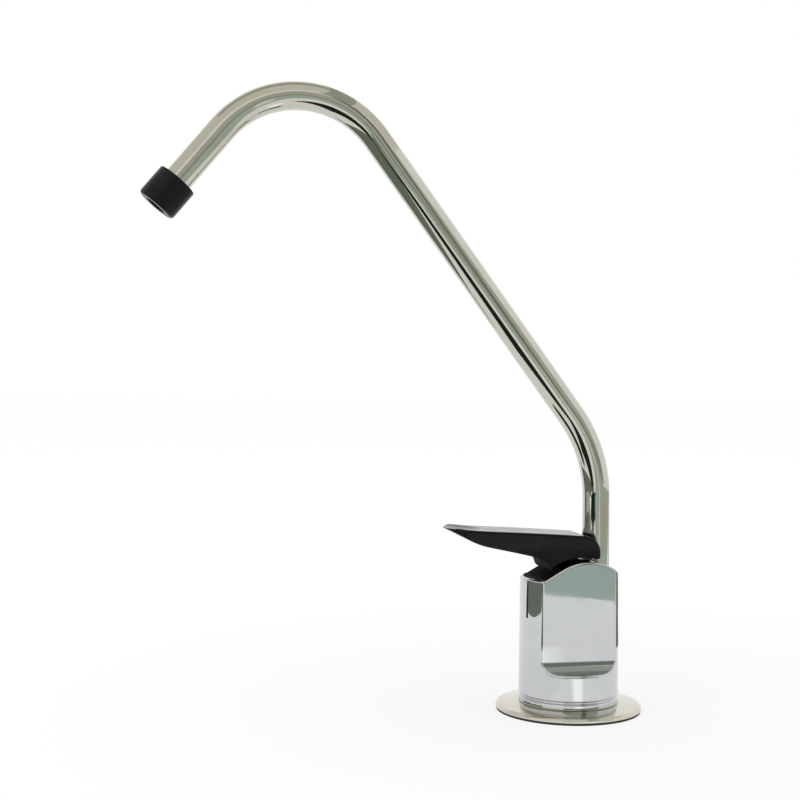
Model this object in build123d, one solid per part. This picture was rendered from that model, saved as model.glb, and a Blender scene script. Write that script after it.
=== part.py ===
from build123d import *
import math
import os

os.makedirs("parts", exist_ok=True)

# Drinking water filter tap, in millimetres
# Origin: the body's axis on the worktop, +Z up, the lever points along -Y

# shared fits
RUNNING_GAP = 0.05
LOOSE_GAP = 0.3
CUT_OVERRUN = 20.0

# cover plate and gasket
PLATE_R = 25.4
PLATE_SHEET = 0.9
PLATE_RIM_H = 2.2
PLATE_DOME_H = 0.8
PLATE_RIM_ROUND = 0.6
PLATE_RIM_WIDTH = 0.9
GASKET_LIP_H = 0.8
GASKET_INSET = 0.2
FOOT_Z = PLATE_RIM_H + PLATE_DOME_H

# body
BODY_R_FOOT = 17.45
BODY_TAPER = 0.35
RING_H = 2.1
GROOVE_H = 0.8
GROOVE_DEPTH = 0.7
FOOT_ROUND = 0.4
FLAT_CUT_DEPTH = 6.25
POCKET_FLOOR_RISE = 12.0
POCKET_FILLET_R = 4.0
FLAT_EDGE_ROUND = 0.9
TOP_RIM_ROUND = 0.8
BODY_R_TOP = BODY_R_FOOT - BODY_TAPER
FLAT_HALF_WIDTH = BODY_R_FOOT - FLAT_CUT_DEPTH
RING_TOP_Z = FOOT_Z + RING_H
GROOVE_TOP_Z = RING_TOP_Z + GROOVE_H
POCKET_FLOOR_Z = FOOT_Z + POCKET_FLOOR_RISE

# arched top, with a flat ledge in front of a slope
ARCH_Y = 3.4
ARCH_CROWN_Z = 52.87
LEDGE_DROP = 6.07
LEDGE_CORNER_WIDTH = 0.7217
ARCH_SHARE = 1.11111
FLAT_CORNER_Y = math.sqrt(BODY_R_TOP**2 - FLAT_HALF_WIDTH**2)
LEDGE_INNER_Y = LEDGE_CORNER_WIDTH - FLAT_CORNER_Y
ARCH_R = BODY_R_TOP * ARCH_SHARE
ARCH_Z = ARCH_CROWN_Z - ARCH_R
LEDGE_Z = ARCH_CROWN_Z - LEDGE_DROP
BODY_BLANK_TOP_Z = ARCH_CROWN_Z + CUT_OVERRUN

# the spout's socket behind the middle, and the valve's chamber in front of it
TUBE_R = 4.7625
FITTING_WALL = 1.36
SPOUT_RUNNING_GAP = 0.08
SOCKET_WALL = 1.1675
CHAMBER_R = 4.4
CHAMBER_WEB = 1.6275
SOCKET_R = TUBE_R + FITTING_WALL + SPOUT_RUNNING_GAP
SPOUT_Y = BODY_R_TOP - SOCKET_R - SOCKET_WALL
VALVE_Y = SPOUT_Y - SOCKET_R - CHAMBER_R - CHAMBER_WEB

# valve
CHAMBER_FLOOR_Z = 17.0
ORIFICE_R = 1.7
SEAT_LIP_WIDTH = 0.9
SEAT_LIP_H = 0.8
SEAT_LIP_R = ORIFICE_R + SEAT_LIP_WIDTH
SEAT_LIP_Z = CHAMBER_FLOOR_Z + SEAT_LIP_H
SEAT_WASHER_MARGIN = 0.6
SEAT_WASHER_H = 2.2
SEAT_WASHER_R = SEAT_LIP_R + SEAT_WASHER_MARGIN
STEM_R = 2.4
STEM_FOOT_Z = SEAT_LIP_Z + SEAT_WASHER_H
COLLAR_WIDTH = 1.0
COLLAR_RISE = 2.0
COLLAR_H = 2.0
COLLAR_R = STEM_R + COLLAR_WIDTH
COLLAR_BASE_Z = STEM_FOOT_Z + COLLAR_RISE
COLLAR_TOP_Z = COLLAR_BASE_Z + COLLAR_H
STEM_END_CHAMFER = 0.5
SEAT_SCREW_HEAD_GAP = 0.4
SEAT_SCREW_HEAD_H = 1.2
SEAT_SCREW_R = 0.9
SEAT_SCREW_L = 4.5
SCREW_SLOT_W = 0.5
SCREW_SLOT_DEPTH = 0.5
BONNET_H = 9.2
BONNET_SINK = 5.67
BONNET_TOP_Z = ARCH_CROWN_Z - BONNET_SINK
BONNET_FOOT_Z = BONNET_TOP_Z - BONNET_H
SPRING_WASHER_H = 0.6
BONNET_RING_RISE = 3.0
BONNET_RING_MINOR_R = 0.7
STEM_RING_RISE = 7.0
STEM_RING_MINOR_R = 0.6
RING_GROOVE_SLACK = 0.2
RING_GAP = 0.02

# return spring
WIRE_R = 0.35
SPRING_STEM_GAP = 0.55
SPRING_MEAN_R = STEM_R + SPRING_STEM_GAP + WIRE_R
SPRING_TURNS = 7
SPRING_QUARTERS = 4
SPRING_SAMPLES = 60

# saddle under the lever
SADDLE_SIDE_STRIP = 1.2
SADDLE_RIM_STRIP = 1.1
SADDLE_THICKNESS = 2.2
SADDLE_REAR_MARGIN = 0.3
SADDLE_BOSS_GAP = 0.1
SADDLE_HALF_WIDTH = FLAT_HALF_WIDTH - SADDLE_SIDE_STRIP
SADDLE_REAR_Y = VALVE_Y + CHAMBER_R + SADDLE_REAR_MARGIN
SADDLE_STEM_HOLE_R = STEM_R + LOOSE_GAP

# lever pin
PIN_R = 1.2
PIN_HALF_LENGTH = 6.5
PIN_RISE = 4.43
PIN_MARGIN = 2.0
PIN_Z = ARCH_CROWN_Z + PIN_RISE
STEM_TOP_Z = PIN_Z + PIN_MARGIN

# spout
TUBE_WALL = 0.81
TUBE_BORE_R = TUBE_R - TUBE_WALL
TUBE_RISE = 21.43
BEND_ONE_R = 48.3
BEND_ONE_DEG = 36.8
STRAIGHT_LENGTH = 116.95
BEND_TWO_R = 33.17
OUTLET_DROP_DEG = 39.8
HALF_TURN_DEG = 180.0
TUBE_END_LENGTH = 31.0
CAP_OVERHANG = 3.2
CAP_LENGTH = 11.3
CAP_WALL = 2.19
CAP_LIP = 0.45
CAP_ROUND = 1.2
CAP_TOP_ROUND = 0.4
TUBE_BEND_START_Z = ARCH_CROWN_Z + TUBE_RISE
CAP_END_LENGTH = TUBE_END_LENGTH + CAP_OVERHANG
CAP_R = TUBE_R + CAP_WALL
CAP_BORE_R = TUBE_BORE_R - CAP_LIP

# spout's joint in the body
SOCKET_FLOOR_Z = 27.0
SOCKET_GAP = 1.0
FITTING_H = 14.0
FITTING_CUP_DEPTH = 3.5
FITTING_BORE_R = 2.8
FITTING_RING_MINOR_R = 0.75
FITTING_RING_RISE = 2.6
FITTING_RING_PITCH = 3.6
FITTING_RING_COUNT = 2
BUSH_GAP = 0.2
BUSH_SINK = 0.4
FITTING_FOOT_Z = SOCKET_FLOOR_Z + SOCKET_GAP
FITTING_TOP_Z = FITTING_FOOT_Z + FITTING_H
TUBE_FOOT_Z = FITTING_TOP_Z - FITTING_CUP_DEPTH
BUSH_FOOT_Z = FITTING_TOP_Z + BUSH_GAP
PASSAGE_R = 1.5
PASSAGE_INSET = 1.3
PASSAGE_RISE = 3.5

# lever, whose heights are counted from the arch's crown
LEVER_HALF_TOP = 9.8
LEVER_HALF_TOE = 8.7
LEVER_REACH = 45.5
LEVER_TIP_RISE = 12.53
LEVER_TIP_THICKNESS = 1.1
LEVER_NOSE_R = 11.8
LEVER_REAR_TOP_RISE = 8.93
LEVER_REAR_TOP_Y = 1.7
LEVER_REAR_R = 6.2
LEVER_REAR_RISE = 2.73
LEVER_BACK_Y = 8.4
LEVER_HEEL_ROUND = 1.1
LEVER_UNDER_GAP = 0.9
LEVER_UNDER_SHIFT = 1.4
LEVER_UNDER_LIFT = 0.33
LEVER_TOE_SETBACK = 12.7
LEVER_TOE_DROP = 3.27
LEVER_TOE_LIP = 0.4
LEVER_TOE_BEVEL = 0.7
LEVER_THROAT_REACH = 3.3
LEVER_THROAT_RISE = 4.35
LEVER_EDGE_ROUND = 0.4
LEVER_SLOT_GAP = 1.74
LEVER_CAVITY_SIDE_GAP = 0.5
LEVER_CAVITY_FRONT_GAP = 2.1
LEVER_CAVITY_REAR_GAP = 2.1
LEVER_CAVITY_ROOF_GAP = 1.4
LEVER_CLIP_BITE = 0.1
SCOOP_R = 42.0
SCOOP_DEPTH = 0.55
SCOOP_SETBACK = 9.0
SCOOP_FALL = 1.15
LEVER_TOP_SHARES = [(0.199, 0.194), (0.587, 0.5), (0.841, 0.722)]
LEVER_BELLY_SHARES = [(0.091, 0.077), (0.529, 0.386), (0.693, 0.527), (0.815, 0.71)]
LEVER_THROAT_SHARES = [(0.48, 0.178), (0.78, 0.48)]
LEVER_TIP_Y = -LEVER_REACH
LEVER_UNDER_R = ARCH_R + LEVER_UNDER_GAP
LEVER_UNDER_Y = ARCH_Y - LEVER_UNDER_SHIFT
LEVER_UNDER_Z = ARCH_Z + LEVER_UNDER_LIFT
LEVER_TOE_Y = ARCH_Y - LEVER_TOE_SETBACK
LEVER_TOE_Z = ARCH_CROWN_Z - LEVER_TOE_DROP
LEVER_SLOT_R = TUBE_R + LEVER_SLOT_GAP

# shank and the pieces under the worktop
SHANK_R = 5.556
SHANK_BORE_R = 2.4
SHANK_INSERT = 9.5
SHANK_TOP_GAP = 0.5
SHANK_HANG = 45.0
SHANK_CHAMFER = 0.6
TUBE_SOCKET_R = 3.3
TUBE_SOCKET_DEPTH = 8.0
SHANK_RING_MINOR_R = 0.85
SHANK_RING_SLACK = 0.14
WORKTOP_THICKNESS = 20.0
DECK_WASHER_R = 15.5
DECK_WASHER_H = 3.0
LOCK_WASHER_R = 9.0
LOCK_WASHER_H = 1.0
HOLE_SLACK = 0.25
NUT_FLATS_R = 7.94
LOCKNUT_H = 5.0
NUT_CORNER_CHAMFER = 0.8
NUT_GRIP = 7.0
NUT_THREAD_SLACK = 1.0
NUT_FLOOR = 3.0
FERRULE_H = 5.0
FERRULE_WALL = 1.4
FERRULE_TAPER = 1.0
HEX_SIDES = 6
SHANK_TOP_Z = FOOT_Z + SHANK_INSERT
SHANK_SOCKET_TOP_Z = SHANK_TOP_Z + SHANK_TOP_GAP
SHANK_FOOT_Z = -SHANK_HANG
UNDER_HOLE_R = SHANK_R + HOLE_SLACK
FERRULE_R = TUBE_SOCKET_R + FERRULE_WALL


PIN_FRAME = Pos(0, VALVE_Y, PIN_Z) * Rot(0, 90, 0)


def save(piece, name):
    """Write one node to its own file."""
    piece.label = name
    export_step(piece, "parts/" + name + ".step")
    print(name, round(piece.volume, 1))


def cylinder_at(radius, y, z_low, z_high):
    """Upright cylinder between two heights."""
    blank = Cylinder(radius, z_high - z_low, align=(Align.CENTER, Align.CENTER, Align.MIN))
    return Pos(0, y, z_low) * blank


def tube_at(outer, inner, y, z_low, z_high):
    """Upright ring between two heights."""
    hole = cylinder_at(inner, y, z_low - CUT_OVERRUN, z_high + CUT_OVERRUN)
    return cylinder_at(outer, y, z_low, z_high) - hole


def box_between(x_low, x_high, y_low, y_high, z_low, z_high):
    """Box between two corners."""
    blank = Box(x_high - x_low, y_high - y_low, z_high - z_low, align=Align.MIN)
    return Pos(x_low, y_low, z_low) * blank


def seal_ring(middle_r, minor_r, y, z):
    """Round seal lying flat."""
    return Pos(0, y, z) * Torus(middle_r, minor_r)


def turned(points, y):
    """Solid turned about an upright axis from (radius, height) points."""
    outline = Plane.XZ * make_face(Polyline(*points, close=True))
    return Pos(0, y, 0) * revolve(outline, Axis.Z)


def across(face, half_width):
    """Solid of a side profile, symmetric about the middle plane."""
    return Pos(-half_width, 0, 0) * extrude(Plane.YZ * face, amount=2 * half_width)


def hex_blank(flats_r, z_low, z_high):
    """Hexagon bar with its corners turned off at both ends."""
    outline = RegularPolygon(flats_r, HEX_SIDES, major_radius=False)
    bar = Pos(0, 0, z_low) * extrude(outline, amount=z_high - z_low)
    corner_r = flats_r / math.cos(math.pi / HEX_SIDES)
    cap_r = corner_r - NUT_CORNER_CHAMFER
    profile = [
        (0, z_low),
        (cap_r, z_low),
        (corner_r, z_low + NUT_CORNER_CHAMFER / 2),
        (corner_r, z_high - NUT_CORNER_CHAMFER / 2),
        (cap_r, z_high),
        (0, z_high),
    ]
    return bar & turned(profile, 0)


# the arch's side profile: ledge, slope that meets the circle, circle
slope_start = Vector(LEDGE_INNER_Y, LEDGE_Z)
arch_centre = Vector(ARCH_Y, ARCH_Z)
start_dist = (slope_start - arch_centre).length
start_angle = math.atan2(LEDGE_Z - ARCH_Z, LEDGE_INNER_Y - ARCH_Y)
touch_angle = start_angle - math.acos(ARCH_R / start_dist)
touch_y = ARCH_Y + ARCH_R * math.cos(touch_angle)
touch_z = ARCH_Z + ARCH_R * math.sin(touch_angle)
rear_y = BODY_R_FOOT + CUT_OVERRUN
print("slope meets the arch at", round(touch_y, 2), round(touch_z, 2))


def arch_space(drop):
    """Side profile of the space above the arch, lowered by a drop."""
    top_z = BODY_BLANK_TOP_Z + CUT_OVERRUN
    slope = math.atan2(touch_z - LEDGE_Z, touch_y - LEDGE_INNER_Y)
    touch = (touch_y + drop * math.sin(slope), touch_z - drop * math.cos(slope))
    crown = (ARCH_Y, ARCH_Z + ARCH_R - drop)
    shoulder = (ARCH_Y + ARCH_R - drop, ARCH_Z)
    start_y = LEDGE_INNER_Y + drop * math.tan(slope / 2)
    start = (start_y, LEDGE_Z - drop)
    lines = Polyline(
        shoulder,
        (rear_y, ARCH_Z),
        (rear_y, top_z),
        (-rear_y, top_z),
        (-rear_y, start[1]),
        start,
        touch,
    )
    middle_angle = (touch_angle + math.pi / 2) / 2
    low_r = ARCH_R - drop
    middle = (ARCH_Y + low_r * math.cos(middle_angle), ARCH_Z + low_r * math.sin(middle_angle))
    front_arc = ThreePointArc(touch, middle, crown)
    rear_middle = (ARCH_Y + low_r * math.cos(math.pi / 4), ARCH_Z + low_r * math.sin(math.pi / 4))
    rear_arc = ThreePointArc(crown, rear_middle, shoulder)
    return make_face([lines, front_arc, rear_arc])


# tap body
body_profile = [
    (0, FOOT_Z),
    (BODY_R_FOOT, FOOT_Z),
    (BODY_R_FOOT, RING_TOP_Z),
    (BODY_R_FOOT - GROOVE_DEPTH, RING_TOP_Z),
    (BODY_R_FOOT - GROOVE_DEPTH, GROOVE_TOP_Z),
    (BODY_R_FOOT, GROOVE_TOP_Z),
    (BODY_R_TOP, BODY_BLANK_TOP_Z),
    (0, BODY_BLANK_TOP_Z),
]
body = turned(body_profile, 0)
groove_edges = body.edges().filter_by(GeomType.CIRCLE).filter_by(lambda e: abs(e.radius - BODY_R_FOOT) < FOOT_ROUND)
body = fillet(groove_edges, FOOT_ROUND)
for side in (-1, 1):
    near = side * FLAT_HALF_WIDTH
    far = side * (FLAT_HALF_WIDTH + CUT_OVERRUN)
    reach = BODY_R_FOOT + CUT_OVERRUN
    pocket = box_between(min(near, far), max(near, far), -reach, reach, POCKET_FLOOR_Z, BODY_BLANK_TOP_Z + CUT_OVERRUN)
    corner = pocket.edges().filter_by(Axis.Y).sort_by(lambda e: abs(e.center().X) + e.center().Z)[0]
    body -= fillet(corner, POCKET_FILLET_R)
body -= across(arch_space(0), BODY_R_FOOT + CUT_OVERRUN)


def is_upright(edge):
    """True for the four long edges where a flat meets the round."""
    middle = edge.center()
    low = edge.bounding_box().min.Z
    on_flat = abs(abs(middle.X) - FLAT_HALF_WIDTH) < LOOSE_GAP
    return on_flat and abs(middle.Y) > BODY_R_TOP / 2 and low > POCKET_FLOOR_Z and edge.length > CUT_OVERRUN


upright_edges = body.edges().filter_by(is_upright)
body = fillet(upright_edges, FLAT_EDGE_ROUND)


def is_top_rim(edge):
    """True for the edges where the top meets the round and the flats."""
    middle = edge.center()
    low = edge.bounding_box().min.Z
    outer = abs(middle.X) > SADDLE_HALF_WIDTH or math.hypot(middle.X, middle.Y) > BODY_R_TOP / 2
    return outer and low > LEDGE_Z - TOP_RIM_ROUND



top_edges = body.edges().filter_by(is_top_rim)
body = fillet(top_edges, TOP_RIM_ROUND)

recess = across(arch_space(SADDLE_THICKNESS), SADDLE_HALF_WIDTH)
recess &= box_between(-CUT_OVERRUN, CUT_OVERRUN, -BODY_R_FOOT, SADDLE_REAR_Y, 0, BODY_BLANK_TOP_Z)
recess &= cylinder_at(BODY_R_TOP - SADDLE_RIM_STRIP, 0, 0, BODY_BLANK_TOP_Z)
body -= recess
body -= cylinder_at(SHANK_R, 0, -CUT_OVERRUN, SHANK_SOCKET_TOP_Z)
shank_ring_mid_r = SHANK_R + RING_GAP + SHANK_RING_MINOR_R
shank_ring_z = FOOT_Z + RING_GAP + SHANK_RING_MINOR_R
ring_pocket_r = shank_ring_mid_r + SHANK_RING_MINOR_R + SHANK_RING_SLACK
ring_pocket_top_z = shank_ring_z + SHANK_RING_MINOR_R + RING_GAP
body -= cylinder_at(ring_pocket_r, 0, -CUT_OVERRUN, ring_pocket_top_z)
body -= cylinder_at(ORIFICE_R, VALVE_Y, SHANK_SOCKET_TOP_Z - RUNNING_GAP, CHAMBER_FLOOR_Z + RUNNING_GAP)
seat_lip = tube_at(SEAT_LIP_R, ORIFICE_R, VALVE_Y, CHAMBER_FLOOR_Z, SEAT_LIP_Z)
chamber = cylinder_at(CHAMBER_R, VALVE_Y, CHAMBER_FLOOR_Z, BODY_BLANK_TOP_Z)
body -= chamber - seat_lip
body -= cylinder_at(SOCKET_R, SPOUT_Y, SOCKET_FLOOR_Z, BODY_BLANK_TOP_Z)
passage_low = Vector(0, VALVE_Y + CHAMBER_R, CHAMBER_FLOOR_Z + PASSAGE_RISE)
passage_high = Vector(0, SPOUT_Y - SOCKET_R + PASSAGE_INSET, SOCKET_FLOOR_Z)
passage_way = (passage_high - passage_low).normalized()
passage_length = (passage_high - passage_low).length + 2 * PASSAGE_R
passage_blank = Cylinder(PASSAGE_R, passage_length, align=(Align.CENTER, Align.CENTER, Align.MIN))
body -= Plane(passage_low - passage_way * PASSAGE_R, z_dir=passage_way).location * passage_blank
save(body, "tap_body")

# saddle
saddle = recess - across(arch_space(0), BODY_R_FOOT)
boss = cylinder_at(CHAMBER_R - SADDLE_BOSS_GAP, VALVE_Y, BONNET_TOP_Z, ARCH_CROWN_Z)
saddle += boss - across(arch_space(SADDLE_THICKNESS / 2), BODY_R_FOOT)
saddle -= cylinder_at(SADDLE_STEM_HOLE_R, VALVE_Y, 0, BODY_BLANK_TOP_Z)
save(saddle, "lever_saddle")

# bonnet and its seals
bonnet_ring_z = BONNET_FOOT_Z + BONNET_RING_RISE
stem_ring_z = BONNET_FOOT_Z + STEM_RING_RISE
bonnet_ring_mid_r = CHAMBER_R - RING_GAP - BONNET_RING_MINOR_R
bonnet_groove_r = bonnet_ring_mid_r - BONNET_RING_MINOR_R - RING_GAP
bonnet_groove_half = BONNET_RING_MINOR_R + RING_GROOVE_SLACK / 2
stem_ring_mid_r = STEM_R + RUNNING_GAP + STEM_RING_MINOR_R
stem_groove_r = stem_ring_mid_r + STEM_RING_MINOR_R + RING_GAP
stem_groove_half = STEM_RING_MINOR_R + RING_GROOVE_SLACK / 2
bonnet = tube_at(CHAMBER_R, STEM_R + RUNNING_GAP, VALVE_Y, BONNET_FOOT_Z, BONNET_TOP_Z)
bonnet -= tube_at(
    CHAMBER_R + CUT_OVERRUN,
    bonnet_groove_r,
    VALVE_Y,
    bonnet_ring_z - bonnet_groove_half,
    bonnet_ring_z + bonnet_groove_half,
)
bonnet -= cylinder_at(stem_groove_r, VALVE_Y, stem_ring_z - stem_groove_half, stem_ring_z + stem_groove_half)
save(bonnet, "stem_bonnet")
save(seal_ring(bonnet_ring_mid_r, BONNET_RING_MINOR_R, VALVE_Y, bonnet_ring_z), "bonnet_o_ring")
save(seal_ring(stem_ring_mid_r, STEM_RING_MINOR_R, VALVE_Y, stem_ring_z), "stem_o_ring")
spring_washer_z = BONNET_FOOT_Z - SPRING_WASHER_H
spring_washer = tube_at(CHAMBER_R - LOOSE_GAP, STEM_R + LOOSE_GAP, VALVE_Y, spring_washer_z, BONNET_FOOT_Z)
save(spring_washer, "spring_washer")

# return spring: an even coil between the stem's collar and the washer
spring_low = COLLAR_TOP_Z + WIRE_R + RUNNING_GAP
spring_high = spring_washer_z - WIRE_R - RUNNING_GAP
spring_rise = (spring_high - spring_low) / SPRING_TURNS


def spring_point(turns):
    """Point on the coil's centre line after a number of turns."""
    angle = 2 * math.pi * turns
    x = SPRING_MEAN_R * math.cos(angle)
    y = VALVE_Y + SPRING_MEAN_R * math.sin(angle)
    return Vector(x, y, spring_low + spring_rise * turns)


def spring_heading(turns):
    """Direction of the coil's centre line after a number of turns."""
    angle = 2 * math.pi * turns
    around = 2 * math.pi * SPRING_MEAN_R
    return Vector(-around * math.sin(angle), around * math.cos(angle), spring_rise).normalized()


spring_arcs = []
quarter_count = SPRING_TURNS * SPRING_QUARTERS
for step in range(quarter_count):
    first = spring_point(step / SPRING_QUARTERS)
    last = spring_point((step + 1) / SPRING_QUARTERS)
    first_way = spring_heading(step / SPRING_QUARTERS)
    last_way = spring_heading((step + 1) / SPRING_QUARTERS)
    chord = last - first
    # a pair of arcs with equal tangent lengths meets the helix at both ends
    total_way = first_way + last_way
    quad_a = total_way.dot(total_way) - 4
    quad_b = -2 * chord.dot(total_way)
    quad_c = chord.dot(chord)
    root = math.sqrt(quad_b * quad_b - 4 * quad_a * quad_c)
    reach = (-quad_b - root) / (2 * quad_a)
    joint = (first + first_way * reach + last - last_way * reach) / 2
    spring_arcs.append(Edge.make_tangent_arc(first, first_way, joint))
    joint_way = spring_arcs[-1] % 1
    spring_arcs.append(Edge.make_tangent_arc(joint, joint_way, last))
spring_path = Wire(spring_arcs)
spring_face = Plane(spring_point(0), z_dir=spring_heading(0)) * Circle(WIRE_R)
spring = sweep(spring_face, path=spring_path)
spring_gap = CUT_OVERRUN
sample_points = [spring_point(k / SPRING_SAMPLES) for k in range(SPRING_TURNS * SPRING_SAMPLES + 1)]
for k, here in enumerate(sample_points):
    for there in sample_points[k + SPRING_SAMPLES // 2 :]:
        spring_gap = min(spring_gap, (here - there).length - 2 * WIRE_R)
print("spring's least gap to itself", round(spring_gap, 3))
save(spring, "return_spring")

# stem, seat washer and screw
stem_points = [
    (0, STEM_FOOT_Z),
    (STEM_R, STEM_FOOT_Z),
    (STEM_R, COLLAR_BASE_Z),
    (COLLAR_R, COLLAR_BASE_Z),
    (COLLAR_R, COLLAR_TOP_Z),
    (STEM_R, COLLAR_TOP_Z),
    (STEM_R, STEM_TOP_Z - STEM_END_CHAMFER),
    (STEM_R - STEM_END_CHAMFER, STEM_TOP_Z),
    (0, STEM_TOP_Z),
]
stem = turned(stem_points, VALVE_Y)
pin_hole_r = PIN_R + RUNNING_GAP
stem -= PIN_FRAME * Cylinder(pin_hole_r, CUT_OVERRUN)
screw_top_z = SEAT_LIP_Z + SEAT_SCREW_L
stem -= cylinder_at(SEAT_SCREW_R, VALVE_Y, 0, screw_top_z)
save(stem, "valve_stem")
seat_washer = tube_at(SEAT_WASHER_R, SEAT_SCREW_R, VALVE_Y, SEAT_LIP_Z, STEM_FOOT_Z)
save(seat_washer, "seat_washer")
head_foot_z = SEAT_LIP_Z - SEAT_SCREW_HEAD_H
seat_screw = cylinder_at(SEAT_SCREW_R, VALVE_Y, head_foot_z, screw_top_z)
seat_screw += cylinder_at(ORIFICE_R - SEAT_SCREW_HEAD_GAP, VALVE_Y, head_foot_z, SEAT_LIP_Z)
slot_half = SCREW_SLOT_W / 2
slot_top = head_foot_z + SCREW_SLOT_DEPTH
seat_screw -= box_between(-slot_half, slot_half, -CUT_OVERRUN, CUT_OVERRUN, head_foot_z - SCREW_SLOT_DEPTH, slot_top)
save(seat_screw, "seat_screw")

# lever pin
save(PIN_FRAME * Cylinder(PIN_R, 2 * PIN_HALF_LENGTH), "lever_pin")

# lever: side profile, then plan and front outlines, then the hub's cuts


def along(first, last, shares):
    """Points between two points, from shares of the way along Y and along Z."""
    run = last[0] - first[0]
    climb = last[1] - first[1]
    return [(first[0] + run * y_share, first[1] + climb * z_share) for y_share, z_share in shares]


def lever_under_z(y):
    """Height of the lever's hollow underside."""
    return LEVER_UNDER_Z + math.sqrt(LEVER_UNDER_R**2 - (y - LEVER_UNDER_Y) ** 2)


rear_top = (LEVER_REAR_TOP_Y, ARCH_CROWN_Z + LEVER_REAR_TOP_RISE)
rear_centre = (LEVER_BACK_Y - LEVER_REAR_R, ARCH_CROWN_Z + LEVER_REAR_RISE)
half_right = math.sqrt(1 / 2)
rear_bend = (rear_centre[0] + LEVER_REAR_R * half_right, rear_centre[1] + LEVER_REAR_R * half_right)
rear_end = (LEVER_BACK_Y, rear_centre[1])
heel_y = LEVER_BACK_Y - LEVER_HEEL_ROUND
heel_z = lever_under_z(heel_y)
heel_start = (LEVER_BACK_Y, heel_z + LEVER_HEEL_ROUND)
heel_bend = (heel_y + LEVER_HEEL_ROUND * half_right, heel_z + LEVER_HEEL_ROUND * (1 - half_right))
heel_end = (heel_y, heel_z)
crown = (LEVER_UNDER_Y, LEVER_UNDER_Z + LEVER_UNDER_R)
toe = (LEVER_TOE_Y, LEVER_TOE_Z)
toe_start_y = LEVER_TOE_Y + LEVER_TOE_LIP
toe_start = (toe_start_y, lever_under_z(toe_start_y))
toe_corner = (LEVER_TOE_Y - LEVER_TOE_BEVEL, LEVER_TOE_Z + LEVER_TOE_BEVEL)
throat = (LEVER_TOE_Y - LEVER_THROAT_REACH, LEVER_TOE_Z + LEVER_THROAT_RISE)
tip_top = (LEVER_TIP_Y, ARCH_CROWN_Z + LEVER_TIP_RISE)
tip_low = (LEVER_TIP_Y, tip_top[1] - LEVER_TIP_THICKNESS)
throat_points = along(throat, toe_corner, LEVER_THROAT_SHARES)
lever_outline = [
    Spline(rear_top, *along(rear_top, tip_top, LEVER_TOP_SHARES), tip_top),
    ThreePointArc(rear_top, rear_bend, rear_end),
    Line(rear_end, heel_start),
    ThreePointArc(heel_start, heel_bend, heel_end),
    ThreePointArc(heel_end, crown, toe_start),
    Polyline(toe_start, toe, toe_corner, *reversed(throat_points), throat),
    Spline(throat, *along(throat, tip_low, LEVER_BELLY_SHARES), tip_low),
    Line(tip_low, tip_top),
]
lever = across(make_face(lever_outline), LEVER_HALF_TOP + CUT_OVERRUN)
# the sides lean out from the toes to the top
draft_share = (LEVER_HALF_TOP - LEVER_HALF_TOE) / (rear_top[1] - LEVER_TOE_Z)
front_low = LEVER_TOE_Z - LOOSE_GAP
front_high = rear_top[1] + CUT_OVERRUN
low_half = LEVER_HALF_TOE - draft_share * LOOSE_GAP
high_half = LEVER_HALF_TOP + draft_share * CUT_OVERRUN
front_face = make_face(
    Polyline(
        (-low_half, front_low),
        (low_half, front_low),
        (high_half, front_high),
        (-high_half, front_high),
        close=True,
    )
)
front_blank = Pos(0, CUT_OVERRUN, 0) * extrude(Plane.XZ * front_face, amount=CUT_OVERRUN - 2 * LEVER_TIP_Y)
lever &= front_blank
nose_disc = Pos(0, LEVER_TIP_Y + LEVER_NOSE_R, 0) * Cylinder(LEVER_NOSE_R, 2 * BODY_BLANK_TOP_Z)
nose_bar = box_between(
    -LEVER_NOSE_R,
    LEVER_NOSE_R,
    LEVER_TIP_Y + LEVER_NOSE_R,
    CUT_OVERRUN,
    0,
    BODY_BLANK_TOP_Z,
)
lever &= nose_disc + nose_bar


def is_side_or_nose(edge):
    """True for the edges along the lever's two sides and round its nose."""
    box = edge.bounding_box()
    side = min(abs(box.min.X), abs(box.max.X)) > LEVER_SLOT_R and box.size.X < SADDLE_THICKNESS
    return side or box.max.Y < LEVER_TIP_Y + LEVER_NOSE_R


lever = fillet(lever.edges().filter_by(is_side_or_nose), LEVER_EDGE_ROUND)
lever -= cylinder_at(LEVER_SLOT_R, SPOUT_Y, 0, BODY_BLANK_TOP_Z)
lever -= box_between(-LEVER_SLOT_R, LEVER_SLOT_R, SPOUT_Y, SPOUT_Y + CUT_OVERRUN, 0, BODY_BLANK_TOP_Z)
cavity_half = STEM_R + LEVER_CAVITY_SIDE_GAP
cavity_front_y = VALVE_Y - STEM_R - LEVER_CAVITY_FRONT_GAP
cavity_rear_y = VALVE_Y + STEM_R + LEVER_CAVITY_REAR_GAP
cavity_roof_z = STEM_TOP_Z + LEVER_CAVITY_ROOF_GAP
lever -= box_between(-cavity_half, cavity_half, cavity_front_y, cavity_rear_y, 0, cavity_roof_z)
clip_x = PIN_HALF_LENGTH + RUNNING_GAP
clip_half = PIN_R - LEVER_CLIP_BITE
lever -= PIN_FRAME * Cylinder(pin_hole_r, 2 * clip_x)
lever -= box_between(-clip_x, clip_x, VALVE_Y - clip_half, VALVE_Y + clip_half, 0, PIN_Z)
scoop_z = tip_top[1] - SCOOP_FALL - SCOOP_DEPTH + SCOOP_R
lever -= Pos(0, LEVER_TIP_Y + SCOOP_SETBACK, scoop_z) * Sphere(SCOOP_R)
save(lever, "lever")

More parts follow.
